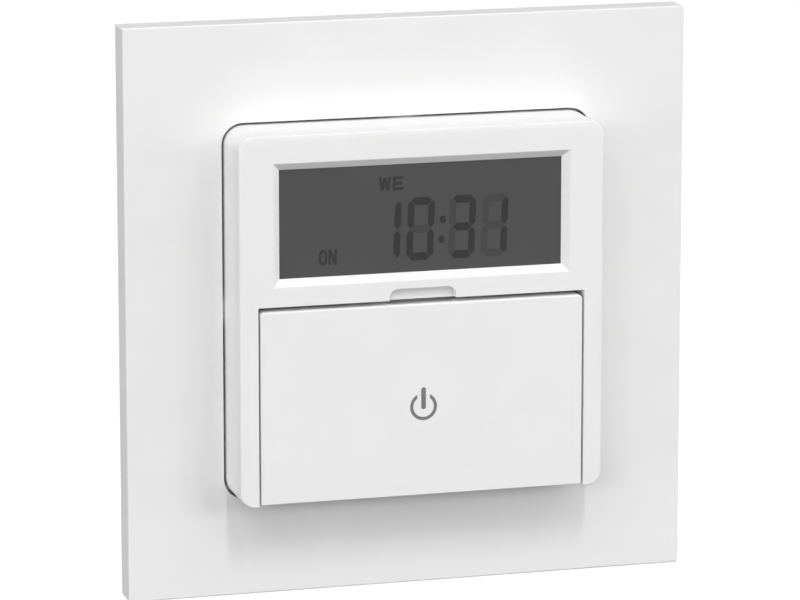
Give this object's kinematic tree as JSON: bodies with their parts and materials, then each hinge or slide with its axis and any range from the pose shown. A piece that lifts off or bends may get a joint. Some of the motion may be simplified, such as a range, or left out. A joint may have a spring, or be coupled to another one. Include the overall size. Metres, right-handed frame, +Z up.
{
  "type": "timer light switch",
  "caption": "Square flush-mounted timer switch: white frame, raised control module with a grey display, a hinged press flap over its setting keys, and a rear relay unit.",
  "frame": {"origin": "centre of the cover frame on the plane of the wall", "axes": "+Y into the wall, +X to the right seen from the front, +Z up"},
  "size_m": [0.085, 0.0387, 0.085],
  "materials": {
    "white_plastic": "fine satin moulding",
    "panel_plastic": "fine matt moulding",
    "key_plastic": "satin moulding",
    "inner_plastic": "satin moulding",
    "case_plastic": "fine matt moulding",
    "black_plastic": "matt moulding",
    "grey_plastic": "matt moulding",
    "relay_plastic": "gloss moulding",
    "can_sleeve": "shrink sleeve",
    "screen_film": "grey polarising film",
    "display_glass": "clear",
    "reflector_film": "satin film",
    "silicone": "matt silicone",
    "circuit_board": "solder mask",
    "zinc_steel": "zinc plated",
    "cell_steel": "nickel plated",
    "soft_iron": "satin",
    "brass": "plain",
    "copper": "plain copper"
  },
  "bodies": {
    "base": {"cover_frame": "white_plastic", "support_plate": "zinc_steel", "front_housing": "white_plastic", "key_panel": "panel_plastic", "keypad_mat": "silicone", "lcd_polariser": "screen_film", "lcd_front_glass": "display_glass", "lcd_rear_glass": "display_glass", "lcd_reflector": "reflector_film", "contact_strip": "silicone", "lcd_holder": "inner_plastic", "control_board": "circuit_board", "board_screws": "zinc_steel", "microcontroller": "black_plastic", "crystal": "zinc_steel", "backup_cell": "cell_steel", "cell_clip": "cell_steel", "header_base": "black_plastic", "header_pins": "brass", "module_back": "inner_plastic", "case_screws": "zinc_steel", "case_cover": "case_plastic", "rear_case": "case_plastic", "power_board": "circuit_board", "header_socket": "black_plastic", "relay_base": "black_plastic", "relay_cover": "relay_plastic", "relay_bobbin": "inner_plastic", "relay_coil": "copper", "relay_yoke": "soft_iron", "relay_contact": "brass", "film_capacitor": "grey_plastic", "smoothing_capacitor": "can_sleeve", "varistor": "relay_plastic", "fuse": "grey_plastic", "terminal_block": "grey_plastic", "terminal_bars": "copper"},
    "hinge_pin": {"hinge_pin": "zinc_steel"},
    "flap": {"flap": "white_plastic"},
    "on_off_plunger": {"on_off_plunger": "white_plastic"},
    "menu_key": {"menu_key": "key_plastic"},
    "minus_key": {"minus_key": "key_plastic"},
    "plus_key": {"plus_key": "key_plastic"},
    "ok_key": {"ok_key": "key_plastic"},
    "reset_key": {"reset_key": "key_plastic"},
    "relay_armature": {"relay_armature": "soft_iron"},
    "terminal_screw_1": {"terminal_screw_1": "zinc_steel"},
    "terminal_screw_2": {"terminal_screw_2": "zinc_steel"},
    "terminal_screw_3": {"terminal_screw_3": "zinc_steel"},
    "terminal_screw_4": {"terminal_screw_4": "zinc_steel"},
    "terminal_clamp_1": {"terminal_clamp_1": "brass"},
    "terminal_clamp_2": {"terminal_clamp_2": "brass"},
    "terminal_clamp_3": {"terminal_clamp_3": "brass"},
    "terminal_clamp_4": {"terminal_clamp_4": "brass"}
  },
  "joints": [
    {"name": "flap_press", "type": "slide", "parent": "base", "child": "hinge_pin", "axis": [0, 1, 0], "range_m": [0, 0.0007], "stiffness_N_per_m": 2500, "deforming": ["keypad_mat"]},
    {"name": "flap_open", "type": "hinge", "parent": "hinge_pin", "child": "flap", "pos_m": [0, -0.01125, -0.02555], "axis": [1, 0, 0], "range_deg": [0, 110]},
    {"name": "on_off_push", "type": "slide", "parent": "base", "child": "on_off_plunger", "axis": [0, 1, 0], "range_m": [0, 0.0007]},
    {"name": "menu_press", "type": "slide", "parent": "base", "child": "menu_key", "axis": [0, 1, 0], "range_m": [0, 0.00055], "stiffness_N_per_m": 2000, "deforming": ["keypad_mat"]},
    {"name": "minus_press", "type": "slide", "parent": "base", "child": "minus_key", "axis": [0, 1, 0], "range_m": [0, 0.00055], "stiffness_N_per_m": 2000, "deforming": ["keypad_mat"]},
    {"name": "plus_press", "type": "slide", "parent": "base", "child": "plus_key", "axis": [0, 1, 0], "range_m": [0, 0.00055], "stiffness_N_per_m": 2000, "deforming": ["keypad_mat"]},
    {"name": "ok_press", "type": "slide", "parent": "base", "child": "ok_key", "axis": [0, 1, 0], "range_m": [0, 0.00055], "stiffness_N_per_m": 2000, "deforming": ["keypad_mat"]},
    {"name": "reset_press", "type": "slide", "parent": "base", "child": "reset_key", "axis": [0, 1, 0], "range_m": [0, 0.0004], "stiffness_N_per_m": 2000, "deforming": ["keypad_mat"]},
    {"name": "armature_swing", "type": "hinge", "parent": "base", "child": "relay_armature", "pos_m": [-0.0121, 0.019, 0.0111], "axis": [0, 0, 1], "range_deg": [0, 3], "stiffness_Nm_per_rad": 0.02},
    {"name": "terminal_turn_1", "type": "hinge", "parent": "base", "child": "terminal_screw_1", "pos_m": [-0.0108, 0.0191, -0.02], "axis": [0, 0, 1], "range_deg": [0, 1155]},
    {"name": "clamp_lift_1", "type": "slide", "parent": "base", "child": "terminal_clamp_1", "axis": [0, 0, -1], "range_m": [0, 0.0016]},
    {"name": "terminal_turn_2", "type": "hinge", "parent": "base", "child": "terminal_screw_2", "pos_m": [-0.0036, 0.0191, -0.02], "axis": [0, 0, 1], "range_deg": [0, 1155]},
    {"name": "clamp_lift_2", "type": "slide", "parent": "base", "child": "terminal_clamp_2", "axis": [0, 0, -1], "range_m": [0, 0.0016]},
    {"name": "terminal_turn_3", "type": "hinge", "parent": "base", "child": "terminal_screw_3", "pos_m": [0.0036, 0.0191, -0.02], "axis": [0, 0, 1], "range_deg": [0, 1155]},
    {"name": "clamp_lift_3", "type": "slide", "parent": "base", "child": "terminal_clamp_3", "axis": [0, 0, -1], "range_m": [0, 0.0016]},
    {"name": "terminal_turn_4", "type": "hinge", "parent": "base", "child": "terminal_screw_4", "pos_m": [0.0108, 0.0191, -0.02], "axis": [0, 0, 1], "range_deg": [0, 1155]},
    {"name": "clamp_lift_4", "type": "slide", "parent": "base", "child": "terminal_clamp_4", "axis": [0, 0, -1], "range_m": [0, 0.0016]}
  ],
  "couplings": [
    {"joint": "on_off_push", "follows": "flap_press", "ratio": 1},
    {"joint": "terminal_turn_1", "follows": "clamp_lift_1", "rad_per_m": 12566},
    {"joint": "terminal_turn_2", "follows": "clamp_lift_2", "rad_per_m": 12566},
    {"joint": "terminal_turn_3", "follows": "clamp_lift_3", "rad_per_m": 12566},
    {"joint": "terminal_turn_4", "follows": "clamp_lift_4", "rad_per_m": 12566}
  ]
}
